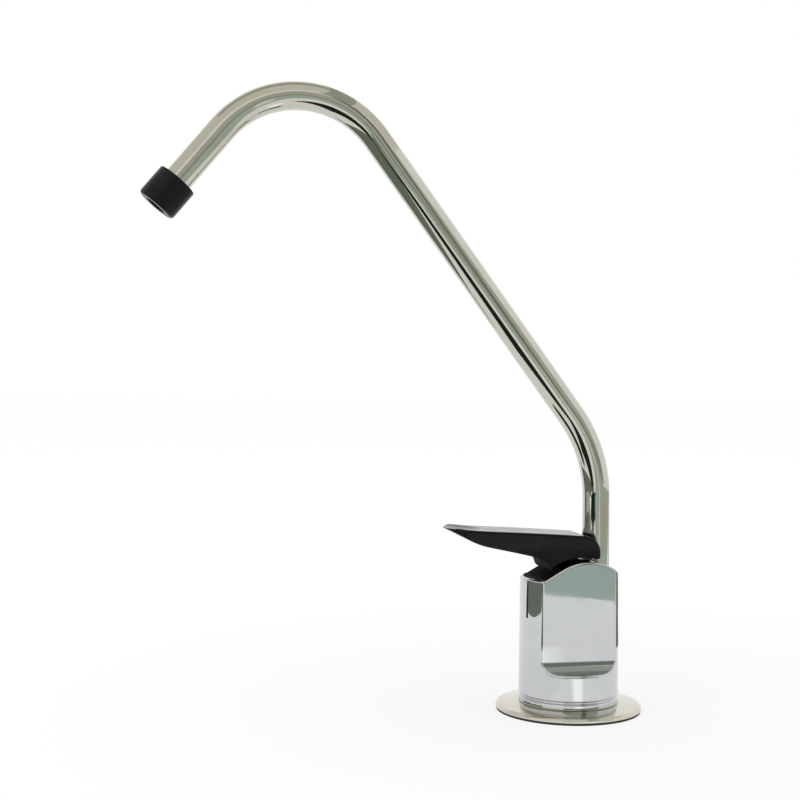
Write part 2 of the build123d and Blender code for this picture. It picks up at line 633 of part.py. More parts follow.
# spout: one bent tube
with BuildLine(Plane.YZ) as spout_line:
    rise = Line((SPOUT_Y, TUBE_FOOT_Z), (SPOUT_Y, TUBE_BEND_START_Z))
    bend_one = JernArc(rise @ 1, rise % 1, BEND_ONE_R, BEND_ONE_DEG)
    straight = PolarLine(bend_one @ 1, STRAIGHT_LENGTH, direction=bend_one % 1)
    second_turn = HALF_TURN_DEG - BEND_ONE_DEG - OUTLET_DROP_DEG
    bend_two = JernArc(straight @ 1, straight % 1, BEND_TWO_R, second_turn)
    last_straight = PolarLine(bend_two @ 1, TUBE_END_LENGTH, direction=bend_two % 1)
spout_path = spout_line.wires()[0]
tube_start = Plane(spout_path @ 0, z_dir=spout_path % 0)
spout_tube = sweep(tube_start * Circle(TUBE_R), path=spout_path)
spout_tube -= sweep(tube_start * Circle(TUBE_BORE_R), path=spout_path)
save(spout_tube, "spout_tube")
outlet_way = bend_two % 1
bend_end = bend_two @ 1
print("bend ends at", bend_end, "heading", outlet_way)

# outlet cap
cap_end = bend_end + outlet_way * CAP_END_LENGTH
print("outlet at", cap_end)
cap_frame = Plane(cap_end, z_dir=-outlet_way)
cap_points = [(0, 0), (CAP_R, 0), (CAP_R, CAP_LENGTH), (0, CAP_LENGTH)]
spout_tip = turned(cap_points, 0)
tip_low_edge = spout_tip.edges().filter_by(GeomType.CIRCLE).sort_by(Axis.Z)[0]
spout_tip = fillet(tip_low_edge, CAP_ROUND)
tip_top_edge = spout_tip.edges().filter_by(GeomType.CIRCLE).sort_by(Axis.Z)[-1]
spout_tip = fillet(tip_top_edge, CAP_TOP_ROUND)
spout_tip -= cylinder_at(CAP_BORE_R, 0, -CUT_OVERRUN, CUT_OVERRUN)
spout_tip -= cylinder_at(TUBE_R, 0, CAP_END_LENGTH - TUBE_END_LENGTH, CUT_OVERRUN)
save(cap_frame.location * spout_tip, "spout_tip")

# spout's foot in the body
fitting_r = SOCKET_R - SPOUT_RUNNING_GAP
fitting = tube_at(fitting_r, FITTING_BORE_R, SPOUT_Y, FITTING_FOOT_Z, FITTING_TOP_Z)
fitting -= cylinder_at(TUBE_R, SPOUT_Y, TUBE_FOOT_Z, BODY_BLANK_TOP_Z)
spout_ring_mid_r = SOCKET_R - RUNNING_GAP - FITTING_RING_MINOR_R
spout_groove_r = spout_ring_mid_r - FITTING_RING_MINOR_R - RING_GAP
spout_groove_half = FITTING_RING_MINOR_R + RING_GROOVE_SLACK / 2
rings = []
for ring in range(FITTING_RING_COUNT):
    ring_z = FITTING_FOOT_Z + FITTING_RING_RISE + ring * FITTING_RING_PITCH
    fitting -= tube_at(SOCKET_R, spout_groove_r, SPOUT_Y, ring_z - spout_groove_half, ring_z + spout_groove_half)
    rings.append(seal_ring(spout_ring_mid_r, FITTING_RING_MINOR_R, SPOUT_Y, ring_z))
save(fitting, "spout_end_fitting")
save(Compound(children=rings), "spout_o_rings")
bush = tube_at(SOCKET_R, TUBE_R + SPOUT_RUNNING_GAP, SPOUT_Y, BUSH_FOOT_Z, BODY_BLANK_TOP_Z)
bush -= across(arch_space(BUSH_SINK), BODY_R_FOOT)
save(bush, "spout_bush")

# shank, its seal and its water socket
shank_points = [
    (SHANK_BORE_R, SHANK_FOOT_Z + TUBE_SOCKET_DEPTH),
    (TUBE_SOCKET_R, SHANK_FOOT_Z + TUBE_SOCKET_DEPTH),
    (TUBE_SOCKET_R, SHANK_FOOT_Z),
    (SHANK_R - SHANK_CHAMFER, SHANK_FOOT_Z),
    (SHANK_R, SHANK_FOOT_Z + SHANK_CHAMFER),
    (SHANK_R, SHANK_TOP_Z - SHANK_CHAMFER),
    (SHANK_R - SHANK_CHAMFER, SHANK_TOP_Z),
    (SHANK_BORE_R, SHANK_TOP_Z),
]
save(turned(shank_points, 0), "threaded_shank")
save(seal_ring(shank_ring_mid_r, SHANK_RING_MINOR_R, 0, shank_ring_z), "shank_o_ring")

# cover plate and gasket
rim_inner_r = PLATE_R - PLATE_RIM_WIDTH
plate_points = [
    (UNDER_HOLE_R, FOOT_Z),
    (BODY_R_FOOT, FOOT_Z),
    (PLATE_R - PLATE_RIM_ROUND, PLATE_RIM_H),
    (PLATE_R, PLATE_RIM_H - PLATE_RIM_ROUND),
    (PLATE_R, GASKET_LIP_H),
    (rim_inner_r, GASKET_LIP_H),
    (rim_inner_r, PLATE_RIM_H - PLATE_SHEET),
    (BODY_R_FOOT, FOOT_Z - PLATE_SHEET),
    (UNDER_HOLE_R, FOOT_Z - PLATE_SHEET),
]
save(turned(plate_points, 0), "base_plate")
gasket_lip_r = PLATE_R - GASKET_INSET
gasket_points = [
    (UNDER_HOLE_R, 0),
    (gasket_lip_r, 0),
    (gasket_lip_r, GASKET_LIP_H),
    (rim_inner_r, GASKET_LIP_H),
    (rim_inner_r, PLATE_RIM_H - PLATE_SHEET),
    (BODY_R_FOOT, FOOT_Z - PLATE_SHEET),
    (UNDER_HOLE_R, FOOT_Z - PLATE_SHEET),
]
save(turned(gasket_points, 0), "base_gasket")

# washers and nuts under the worktop
washer_top_z = -WORKTOP_THICKNESS
deck_washer_foot = washer_top_z - DECK_WASHER_H
lock_washer_foot = deck_washer_foot - LOCK_WASHER_H
locknut_foot = lock_washer_foot - LOCKNUT_H
save(tube_at(DECK_WASHER_R, UNDER_HOLE_R, 0, deck_washer_foot, washer_top_z), "deck_washer")
save(tube_at(LOCK_WASHER_R, UNDER_HOLE_R, 0, lock_washer_foot, deck_washer_foot), "lock_washer")
locknut = hex_blank(NUT_FLATS_R, locknut_foot, lock_washer_foot)
save(locknut - cylinder_at(SHANK_R, 0, SHANK_FOOT_Z, 0), "locknut")
ferrule_foot_z = SHANK_FOOT_Z - FERRULE_H
nut_foot_z = ferrule_foot_z - NUT_FLOOR
nut = hex_blank(NUT_FLATS_R, nut_foot_z, SHANK_FOOT_Z + NUT_GRIP)
nut -= cylinder_at(SHANK_R, 0, SHANK_FOOT_Z - NUT_THREAD_SLACK, 0)
nut -= cylinder_at(FERRULE_R, 0, ferrule_foot_z, 0)
nut -= cylinder_at(TUBE_SOCKET_R, 0, nut_foot_z - CUT_OVERRUN, 0)
save(nut, "compression_nut")
ferrule_mid_z = (SHANK_FOOT_Z + ferrule_foot_z) / 2
ferrule_points = [
    (TUBE_SOCKET_R, ferrule_foot_z),
    (FERRULE_R - FERRULE_TAPER, ferrule_foot_z),
    (FERRULE_R, ferrule_mid_z),
    (FERRULE_R - FERRULE_TAPER, SHANK_FOOT_Z),
    (TUBE_SOCKET_R, SHANK_FOOT_Z),
]
save(turned(ferrule_points, 0), "ferrule")
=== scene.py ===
"""Looks of a drinking water filter tap: finishes, detail pieces, camera and studio."""

from __future__ import annotations

import logging
import math
from dataclasses import dataclass
from enum import Enum
from typing import Any, Iterable, Sequence

import bmesh
import bpy
from mathutils import Matrix, Vector


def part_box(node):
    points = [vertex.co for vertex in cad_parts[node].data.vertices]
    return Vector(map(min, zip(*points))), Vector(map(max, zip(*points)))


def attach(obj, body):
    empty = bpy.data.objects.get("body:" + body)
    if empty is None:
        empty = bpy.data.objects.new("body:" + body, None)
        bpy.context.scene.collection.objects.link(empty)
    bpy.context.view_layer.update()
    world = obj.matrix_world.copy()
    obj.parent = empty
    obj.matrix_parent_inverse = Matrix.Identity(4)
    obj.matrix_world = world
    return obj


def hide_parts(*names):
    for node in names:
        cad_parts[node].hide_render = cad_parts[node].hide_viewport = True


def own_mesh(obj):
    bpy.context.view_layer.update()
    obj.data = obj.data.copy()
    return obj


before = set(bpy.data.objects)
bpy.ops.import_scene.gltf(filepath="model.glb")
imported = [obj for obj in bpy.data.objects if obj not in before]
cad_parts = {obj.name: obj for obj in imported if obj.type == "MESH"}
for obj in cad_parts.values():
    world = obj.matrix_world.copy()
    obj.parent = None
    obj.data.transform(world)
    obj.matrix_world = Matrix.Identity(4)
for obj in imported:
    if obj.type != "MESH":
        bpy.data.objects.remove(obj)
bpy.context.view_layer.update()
LOG = logging.getLogger("water_tap")

MM = 0.001
WELD = 0.001 * MM
Colour = tuple[float, float, float, float]
Span = tuple[float, float]
WHITE: Colour = (1.0, 1.0, 1.0, 1.0)


def srgb(red: float, green: float, blue: float) -> Colour:
    """Turn a colour as it shows on a screen, 0 to 255, into linear light.

    Args:
        red: red, 0 to 255.
        green: green, 0 to 255.
        blue: blue, 0 to 255.

    Returns:
        The colour with an alpha of 1.
    """
    linear = []
    for value in (red, green, blue):
        share = value / 255
        linear.append(share / 12.92 if share <= 0.04045 else ((share + 0.055) / 1.055) ** 2.4)
    return (linear[0], linear[1], linear[2], 1.0)


class Wire:
    """A node's output, with the usual operators for shader sums."""

    def __init__(self, graph: Graph, socket: bpy.types.NodeSocket | None) -> None:
        """Keep the graph and the socket, which an output node doesn't have."""
        self.graph = graph
        self.socket = socket

    def _math(self, operation: str, *values: Any) -> Wire:
        """Output of a new Math node on values or wires."""
        return self.graph.add("ShaderNodeMath", {"operation": operation}, dict(enumerate(values)))

    def __add__(self, other: Any) -> Wire:
        """Sum of two values."""
        return self._math("ADD", self, other)

    def __radd__(self, other: Any) -> Wire:
        """Sum with a number on the left."""
        return self._math("ADD", other, self)

    def __sub__(self, other: Any) -> Wire:
        """Difference of two values."""
        return self._math("SUBTRACT", self, other)

    def __rsub__(self, other: Any) -> Wire:
        """Difference with a number on the left."""
        return self._math("SUBTRACT", other, self)

    def __mul__(self, other: Any) -> Wire:
        """Product of two values."""
        return self._math("MULTIPLY", self, other)

    def __rmul__(self, other: Any) -> Wire:
        """Product with a number on the left."""
        return self._math("MULTIPLY", other, self)

    def __truediv__(self, other: Any) -> Wire:
        """Quotient of two values."""
        return self._math("DIVIDE", self, other)

    def __rtruediv__(self, other: Any) -> Wire:
        """Quotient with a number on the left."""
        return self._math("DIVIDE", other, self)

    def above(self, level: float) -> Wire:
        """1 where the value is over a level, else 0."""
        return self._math("GREATER_THAN", self, level)

    def greatest(self, other: Any) -> Wire:
        """The larger of two values."""
        return self._math("MAXIMUM", self, other)

    def size(self) -> Wire:
        """The value without its sign."""
        return self._math("ABSOLUTE", self)


class Graph:
    """A material's or the world's nodes."""

    def __init__(self, tree: bpy.types.NodeTree) -> None:
        """Empty the tree and keep it."""
        self.tree = tree
        tree.nodes.clear()

    def add(
        self, kind: str, settings: dict[str, Any], inputs: dict[Any, Any], output: Any = 0
    ) -> Wire:
        """Add one node of any kind.

        Args:
            kind: the node's type name.
            settings: the node's own settings, which are set first.
            inputs: socket names or numbers, with a wire or a value each.
            output: name or number of the output to hand back.

        Returns:
            The chosen output.
        """
        node = self.tree.nodes.new(kind)
        for key, value in settings.items():
            setattr(node, key, value)
        for key, value in inputs.items():
            if isinstance(value, Wire):
                self.tree.links.new(value.socket, node.inputs[key])
            else:
                node.inputs[key].default_value = value
        return Wire(self, node.outputs[output] if node.outputs else None)

    def place(self) -> Wire:
        """Object coordinates."""
        return self.add("ShaderNodeTexCoord", {}, {}, "Object")

    def axis(self, letter: str) -> Wire:
        """One of the object coordinates, in metres."""
        return self.add("ShaderNodeSeparateXYZ", {}, {0: self.place()}, letter)

    def stretched(self, scale: Sequence[float]) -> Wire:
        """Object coordinates times a scale for each axis."""
        return self.add("ShaderNodeMapping", {}, {"Vector": self.place(), "Scale": tuple(scale)})

    def noise(self, size: float, detail: float, where: Wire | None = None) -> Wire:
        """Smooth noise.

        Args:
            size: size of its spots in metres.
            detail: octaves.
            where: coordinates, object coordinates where left out.

        Returns:
            A value from 0 to 1.
        """
        vector = where if where is not None else self.place()
        inputs = {"Vector": vector, "Scale": 1 / size, "Detail": detail}
        return self.add("ShaderNodeTexNoise", {}, inputs, "Fac")

    def band(self, value: Wire, source: Span, target: Span) -> Wire:
        """Map a range of a value to another range, held at both ends.

        Args:
            value: the value.
            source: the range that it is read from.
            target: the range that it becomes.

        Returns:
            The mapped value.
        """
        inputs = {"Value": value, "From Min": source[0], "From Max": source[1]}
        inputs.update({"To Min": target[0], "To Max": target[1]})
        return self.add("ShaderNodeMapRange", {"clamp": True}, inputs)

    def blend(self, share: Wire, first: Colour, second: Colour) -> Wire:
        """Mix two colours by a share."""
        return self.add("ShaderNodeMix", {"data_type": "RGBA"}, {0: share, 6: first, 7: second}, 2)

    def bump(self, height: Wire, depth: float, base: Wire | None = None) -> Wire:
        """Bump from a height of 0 to 1.

        Args:
            height: the height.
            depth: what a height of 1 is worth, in metres.
            base: the normal that the bump is added to, the surface's own where left out.

        Returns:
            The normal.
        """
        inputs = {"Height": height, "Distance": depth}
        if base is not None:
            inputs["Normal"] = base
        return self.add("ShaderNodeBump", {}, inputs, "Normal")


def blank(name: str) -> tuple[bpy.types.Material, Graph]:
    """A new material and its empty graph.

    Args:
        name: the material's name.

    Returns:
        The material and the graph.
    """
    made = bpy.data.materials.new(name)
    made.use_nodes = True
    return made, Graph(made.node_tree)


class Look(Enum):
    """The finishes of the tap."""

    BODY_CHROME = "body_chrome"
    PLATE_CHROME = "plate_chrome"
    TUBE_CHROME = "tube_chrome"
    LEVER_BLACK = "lever_black"
    # black plastic saddle, darkened further and left almost without gloss as painted shade under
    # the lever
    SADDLE_BLACK_SHADED = "saddle_black_painted_shade"
    CAP_BLACK = "cap_black"
    GASKET_RUBBER = "gasket_rubber"
    SEAL_RUBBER = "seal_rubber"
    TURNED_BRASS = "turned_brass"
    # painted shade: the brass stem and bonnet under the lever get a near-black, barely glossy
    # finish that stands for the shade there
    BRASS_PAINTED_SHADE = "brass_painted_shade"
    BRIGHT_STEEL = "bright_steel"
    WASHER_BLACK = "washer_black"
    BUSH_WHITE = "bush_white"


@dataclass(frozen=True)
class Finish:
    """A finish that is one shader; each kind adds detail of its own."""

    look: Look
    colour: Colour
    metallic: float = 0.0
    roughness: float = 0.5
    specular: float = 0.5

    def shader(self, graph: Graph, inputs: dict[Any, Any]) -> None:
        """Join the shader to the output.

        Args:
            graph: the material's nodes.
            inputs: the sockets that vary over the surface.
        """
        values = {
            "Base Color": self.colour,
            "Metallic": self.metallic,
            "Roughness": self.roughness,
            "Specular IOR Level": self.specular,
        }
        values.update(inputs)
        shader = graph.add("ShaderNodeBsdfPrincipled", {}, values)
        graph.add("ShaderNodeOutputMaterial", {}, {"Surface": shader})

    def dress(self, graph: Graph) -> None:
        """Build the nodes; a finish with detail of its own does more."""
        self.shader(graph, {})

    def material(self) -> bpy.types.Material:
        """Make the material, or hand back the one made before.

        Returns:
            The material.
        """
        done = bpy.data.materials.get(self.look.value)
        if done is not None:
            return done
        made, graph = blank(self.look.value)
        made.diffuse_color = self.colour
        self.dress(graph)
        return made


@dataclass(frozen=True)
class Chrome(Finish):
    """Bright plating over polished metal: faint waves, smears and specks of dust."""

    metallic: float = 1.0
    tint: Colour = (0.8, 0.8, 0.8, 1.0)
    tint_range: Span = (0.4, 0.8)
    tint_share: float = 0.6
    wave: float = 12 * MM
    wave_depth: float = 0.012 * MM
    smear: float = 7 * MM
    smear_range: Span = (0.45, 0.75)
    smear_dullness: float = 0.05
    speck: float = 0.9 * MM
    speck_level: float = 0.74
    speck_dullness: float = 0.12
    edge_round: float = 0.6 * MM
    edge_samples: int = 8

    def dress(self, graph: Graph) -> None:
        """Build the plating's nodes.

        Args:
            graph: the material's nodes.
        """
        waves = graph.noise(self.wave, detail=2.0)
        smears = graph.noise(self.smear, detail=6.0)
        specks = graph.noise(self.speck, detail=2.0).above(self.speck_level)
        haze = graph.band(smears, self.smear_range, (0.0, self.smear_dullness))
        tinted = graph.band(smears, self.tint_range, (0.0, self.tint_share))
        edges = {"samples": self.edge_samples}
        rounded = graph.add("ShaderNodeBevel", edges, {"Radius": self.edge_round})
        self.shader(
            graph,
            {
                "Base Color": graph.blend(tinted, self.colour, self.tint),
                "Roughness": haze + self.roughness + specks * self.speck_dullness,
                "Normal": graph.bump(waves, self.wave_depth, rounded),
            },
        )


@dataclass(frozen=True)
class Moulded(Finish):
    """Moulded plastic: fine grain, rubbed spots and a slight change of shade."""

    worn: Colour = (0.05, 0.05, 0.05, 1.0)
    worn_spot: float = 9 * MM
    worn_range: Span = (0.45, 0.8)
    worn_polish: float = 0.12
    grain: float = 0.35 * MM
    grain_depth: float = 0.015 * MM
    scratch: float = 0.25 * MM
    scratch_stretch: tuple[float, float, float] = (1.0, 0.06, 1.0)
    scratch_range: Span = (0.6, 0.75)
    scratch_dullness: float = 0.1
    scratch_relief: float = 0.4
    matt_below: float = 0.0
    matt_fade: float = 1.5 * MM
    matt_dullness: float = 0.6

    def dress(self, graph: Graph) -> None:
        """Build the plastic's nodes.

        Args:
            graph: the material's nodes.
        """
        worn = graph.band(graph.noise(self.worn_spot, detail=5.0), self.worn_range, (0.0, 1.0))
        fine = graph.noise(self.grain, detail=3.0)
        scratches = graph.noise(self.scratch, 2.0, graph.stretched(self.scratch_stretch))
        scuffed = graph.band(scratches, self.scratch_range, (0.0, self.scratch_dullness))
        roughness = self.roughness - worn * self.worn_polish + scuffed
        if self.matt_below:
            fade = (self.matt_below - self.matt_fade, self.matt_below)
            roughness = roughness + graph.band(graph.axis("Z"), fade, (self.matt_dullness, 0.0))
        self.shader(
            graph,
            {
                "Base Color": graph.blend(worn, self.colour, self.worn),
                "Roughness": roughness,
                "Normal": graph.bump(fine + scratches * self.scratch_relief, self.grain_depth),
            },
        )


@dataclass(frozen=True)
class Rubber(Finish):
    """Black rubber with a fine speckle."""

    dust: Colour = srgb(62, 60, 58)
    dust_speck: float = 0.6 * MM
    dust_range: Span = (0.55, 0.8)
    dust_share: float = 0.5
    grain: float = 0.2 * MM
    grain_depth: float = 0.02 * MM

    def dress(self, graph: Graph) -> None:
        """Build the rubber's nodes.

        Args:
            graph: the material's nodes.
        """
        specks = graph.noise(self.dust_speck, detail=4.0)
        dusty = graph.band(specks, self.dust_range, (0.0, self.dust_share))
        colour = graph.blend(dusty, self.colour, self.dust)
        normal = graph.bump(graph.noise(self.grain, detail=3.0), self.grain_depth)
        self.shader(graph, {"Base Color": colour, "Normal": normal})


@dataclass(frozen=True)
class Turned(Finish):
    """Machined metal with the lathe's rings and a few stains."""

    metallic: float = 1.0
    ring: float = 0.12 * MM
    ring_stretch: tuple[float, float, float] = (0.02, 0.02, 1.0)
    ring_depth: float = 0.01 * MM
    ring_dullness: float = 0.1
    stain: float = 4 * MM
    stain_range: Span = (0.45, 0.8)
    stain_share: float = 0.55
    stain_shade: float = 0.55
    stain_dullness: float = 0.15

    def dress(self, graph: Graph) -> None:
        """Build the metal's nodes.

        Args:
            graph: the material's nodes.
        """
        rings = graph.noise(self.ring, 2.0, graph.stretched(self.ring_stretch))
        stains = graph.noise(self.stain, detail=5.0)
        dark = graph.band(stains, self.stain_range, (0.0, self.stain_share))
        red, green, blue = (value * self.stain_shade for value in self.colour[:3])
        self.shader(
            graph,
            {
                "Base Color": graph.blend(dark, self.colour, (red, green, blue, 1.0)),
                "Roughness": self.roughness
                + dark * self.stain_dullness
                + rings * self.ring_dullness,
                "Normal": graph.bump(rings, self.ring_depth),
            },
        )


FINISHES: dict[Look, Finish] = {
    finish.look: finish
    for finish in (
        Chrome(Look.BODY_CHROME, srgb(200, 202, 203), roughness=0.02, tint=srgb(192, 195, 198)),
        Chrome(Look.PLATE_CHROME, srgb(205, 203, 190), roughness=0.05, tint=srgb(196, 192, 178)),
        Chrome(
            Look.TUBE_CHROME,
            srgb(199, 198, 188),
            roughness=0.03,
            tint=srgb(191, 188, 175),
            wave=5 * MM,
            wave_depth=0.003 * MM,
        ),
        Moulded(
            Look.LEVER_BLACK,
            srgb(14, 14, 16),
            roughness=0.15,
            specular=0.16,
            worn=srgb(25, 25, 28),
            matt_below=58 * MM,
        ),
        # partly the saddle's own black, partly painted shade: darker than the lever and nearly
        # unreflective
        Moulded(Look.SADDLE_BLACK_SHADED, srgb(4, 5, 10), specular=0.005, worn=srgb(9, 10, 16)),
        Moulded(
            Look.CAP_BLACK, srgb(18, 18, 21), roughness=0.3, specular=0.14, worn=srgb(30, 30, 34)
        ),
        Rubber(Look.GASKET_RUBBER, srgb(22, 20, 20), roughness=0.7),
        Rubber(Look.SEAL_RUBBER, srgb(16, 16, 17)),
        Turned(Look.TURNED_BRASS, srgb(214, 186, 122), roughness=0.22),
        # painted shade: near-black brass with almost no gloss, for the stem and bonnet in the shade
        # under the lever
        Moulded(
            Look.BRASS_PAINTED_SHADE, srgb(14, 13, 13), roughness=0.45, specular=0.02, worn=srgb(30, 27, 22)
        ),
        Turned(Look.BRIGHT_STEEL, srgb(196, 197, 200), roughness=0.25),
        Moulded(Look.WASHER_BLACK, srgb(24, 24, 25), worn=srgb(40, 40, 42)),
        Moulded(Look.BUSH_WHITE, srgb(226, 226, 218), roughness=0.45, worn=srgb(212, 210, 198)),
    )
}

NODE_LOOKS: dict[str, Look] = {
    "tap_body": Look.BODY_CHROME,
    "base_plate": Look.PLATE_CHROME,
    "spout_tube": Look.TUBE_CHROME,
    "lever": Look.LEVER_BLACK,
    "lever_saddle": Look.SADDLE_BLACK_SHADED,
    "spout_tip": Look.CAP_BLACK,
    "base_gasket": Look.GASKET_RUBBER,
    "seat_washer": Look.SEAL_RUBBER,
    "shank_o_ring": Look.SEAL_RUBBER,
    "bonnet_o_ring": Look.SEAL_RUBBER,
    "stem_o_ring": Look.SEAL_RUBBER,
    "spout_o_rings": Look.SEAL_RUBBER,
    "threaded_shank": Look.TURNED_BRASS,
    "stem_bonnet": Look.BRASS_PAINTED_SHADE,
    "spout_end_fitting": Look.TURNED_BRASS,
    "ferrule": Look.TURNED_BRASS,
    "valve_stem": Look.BRASS_PAINTED_SHADE,
    "locknut": Look.TURNED_BRASS,
    "compression_nut": Look.TURNED_BRASS,
    "lock_washer": Look.BRIGHT_STEEL,
    "spring_washer": Look.BRIGHT_STEEL,
    "return_spring": Look.BRIGHT_STEEL,
    "seat_screw": Look.BRIGHT_STEEL,
    "lever_pin": Look.BRIGHT_STEEL,
    "deck_washer": Look.WASHER_BLACK,
    "spout_bush": Look.BUSH_WHITE,
}


def dress_nodes() -> None:
    """Give every CAD node its finish."""
    for name, look in NODE_LOOKS.items():
        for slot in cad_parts[name].material_slots:
            slot.material = FINISHES[look].material()
        LOG.info("dressed %s as %s", name, look.value)


def linked(name: str, work: bmesh.types.BMesh) -> bpy.types.Object:
    """Turn a bmesh into an object in the scene.

    Args:
        name: the object's name.
        work: the mesh, which is freed.

    Returns:
        The object.
    """
    mesh = bpy.data.meshes.new(name)
    work.to_mesh(mesh)
    work.free()
    made = bpy.data.objects.new(name, mesh)
    bpy.context.scene.collection.objects.link(made)
    return made


def edges_in(items: Iterable[Any]) -> list[bmesh.types.BMEdge]:
    """The edges among an operator's results."""
    return [item for item in items if isinstance(item, bmesh.types.BMEdge)]


@dataclass
class SubAssembly:
    """Pieces that move together, with the tools to dress them."""

    body: str = "faucet"
    crease: float = 30.0

    def shade(self, work: bmesh.types.BMesh, crease: float) -> None:
        """Shade faces smooth and keep the edges that are sharper than the crease.

        Args:
            work: the mesh.
            crease: least angle of a sharp edge, in degrees.
        """
        for face in work.faces:
            face.smooth = True
        for edge in work.edges:
            edge.smooth = edge.calc_face_angle(0.0) < math.radians(crease)

    def dress(self, piece: bpy.types.Object, node: str) -> None:
        """Give a piece its node's finish, and let it ride in the node's place.

        Args:
            piece: the piece.
            node: the CAD node that it stands for.
        """
        look = NODE_LOOKS[node]
        piece.data.materials.clear()
        piece.data.materials.append(FINISHES[look].material())
        even = piece.modifiers.new("even_shading", "WEIGHTED_NORMAL")
        even.keep_sharp = True
        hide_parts(node)
        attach(piece, self.body)
        LOG.info("%s stands for %s as %s", piece.name, node, look.value)

    def merged(self, node: str) -> bmesh.types.BMesh:
        """A node's mesh with its loose triangles joined.

        Args:
            node: the CAD node.

        Returns:
            The joined mesh.
        """
        work = bmesh.new()
        work.from_mesh(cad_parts[node].data)
        bmesh.ops.remove_doubles(work, verts=work.verts, dist=WELD)
        return work

    def skin(self, node: str) -> bpy.types.Object:
        """A softly shaded copy of a node.

        Args:
            node: the CAD node.

        Returns:
            The copy.
        """
        work = self.merged(node)
        self.shade(work, self.crease)
        made = linked(node + "_skin", work)
        self.dress(made, node)
        return made

    def turned(self, work: bmesh.types.BMesh, outline: Sequence[Span], steps: int) -> None:
        """Spin a closed outline about the Z axis.

        Args:
            work: the mesh that the shape is added to.
            outline: radius and height of each corner, in metres.
            steps: segments in the turn.
        """
        corners = [work.verts.new((radius, 0.0, height)) for radius, height in outline]
        edges = [work.edges.new(pair) for pair in zip(corners, corners[1:] + corners[:1])]
        spin = {"cent": (0, 0, 0), "axis": (0, 0, 1), "angle": 2 * math.pi, "steps": steps}
        bmesh.ops.spin(work, geom=corners + edges, use_merge=True, **spin)
        bmesh.ops.remove_doubles(work, verts=work.verts, dist=WELD)
        bmesh.ops.recalc_face_normals(work, faces=work.faces)

    def build(self) -> None:
        """Build and dress the pieces."""


@dataclass
class Faucet(SubAssembly):
    """The chromed body, its base and the fixed pieces inside."""

    skins: tuple[str, ...] = ("tap_body", "base_plate", "base_gasket", "stem_bonnet", "spout_bush")
    snug: float = 0.03 * MM

    def build(self) -> None:
        """Soft copies of the fixed pieces, with the saddle swollen shut against its recess."""
        for node in self.skins:
            self.skin(node)
        swell = self.skin("lever_saddle").modifiers.new("snug_fit", "DISPLACE")
        swell.mid_level = 0.0
        swell.strength = self.snug


@dataclass
class Underside(SubAssembly):
    """The threaded shank and what clamps the tap from below."""

    skins: tuple[str, ...] = (
        "deck_washer",
        "lock_washer",
        "locknut",
        "compression_nut",
        "ferrule",
    )
    crest_r: float = 5.55 * MM
    root_r: float = 4.95 * MM
    bore_r: float = 2.4 * MM
    pitch: float = 25.4 / 24 * MM
    crest_span: Span = (0.42, 0.58)
    thread_weld: float = 0.005 * MM
    thread_crease: float = 50.0
    spare_turns: int = 2
    segments: int = 32

    def cut(self, work: bmesh.types.BMesh, level: float, side: float) -> list[bmesh.types.BMEdge]:
        """Cut the thread off square at a height.

        Args:
            work: the thread's mesh.
            level: the height, in metres.
            side: 1 to drop what is above, -1 to drop what is below.

        Returns:
            The edges of the cut.
        """
        parts = work.verts[:] + work.edges[:] + work.faces[:]
        plane = {"plane_co": (0, 0, level), "plane_no": (0, 0, side), "clear_outer": True}
        return edges_in(bmesh.ops.bisect_plane(work, geom=parts, dist=WELD, **plane)["geom_cut"])

    def shank(self) -> None:
        """The shank with its thread cut all the way along."""
        low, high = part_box("threaded_shank")
        work = bmesh.new()
        rise, fall = self.crest_span
        shape = ((self.root_r, 0.0), (self.crest_r, rise), (self.crest_r, fall), (self.root_r, 1.0))
        start = low[2] - self.pitch
        profile = [(radius, 0.0, start + part * self.pitch) for radius, part in shape]
        corners = [work.verts.new(point) for point in profile]
        edges = [work.edges.new(pair) for pair in zip(corners, corners[1:])]
        turns = math.ceil((high[2] - low[2]) / self.pitch) + self.spare_turns
        spin = {"cent": (0, 0, 0), "axis": (0, 0, 1), "dvec": (0, 0, self.pitch / self.segments)}
        spin.update(angle=2 * math.pi * turns, steps=self.segments * turns)
        bmesh.ops.spin(work, geom=corners + edges, **spin)
        bmesh.ops.remove_doubles(work, verts=work.verts, dist=self.thread_weld)
        ends = [self.cut(work, low[2], -1.0), self.cut(work, high[2], 1.0)]
        for level, outer in zip((low[2], high[2]), ends):
            circle = {"segments": self.segments, "radius": self.bore_r}
            ring = bmesh.ops.create_circle(work, matrix=Matrix.Translation((0, 0, level)), **circle)
            inner = list({edge for vert in ring["verts"] for edge in vert.link_edges})
            bmesh.ops.bridge_loops(work, edges=outer + inner)
        bmesh.ops.bridge_loops(work, edges=[edge for edge in work.edges if edge.is_boundary])
        bmesh.ops.recalc_face_normals(work, faces=work.faces)
        self.shade(work, self.thread_crease)
        self.dress(linked("shank_thread", work), "threaded_shank")

    def build(self) -> None:
        """The shank and soft copies of the fasteners."""
        self.shank()
        for node in self.skins:
            self.skin(node)


@dataclass
class Valve(SubAssembly):
    """The stem that rises with the lever."""

    body: str = "stem"
    travel: float = 3.366 * MM

    def build(self) -> None:
        """Soft copies of the stem and of its spring, the spring with a mesh of its own."""
        self.skin("valve_stem")
        spring = self.skin("return_spring")
        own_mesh(spring)


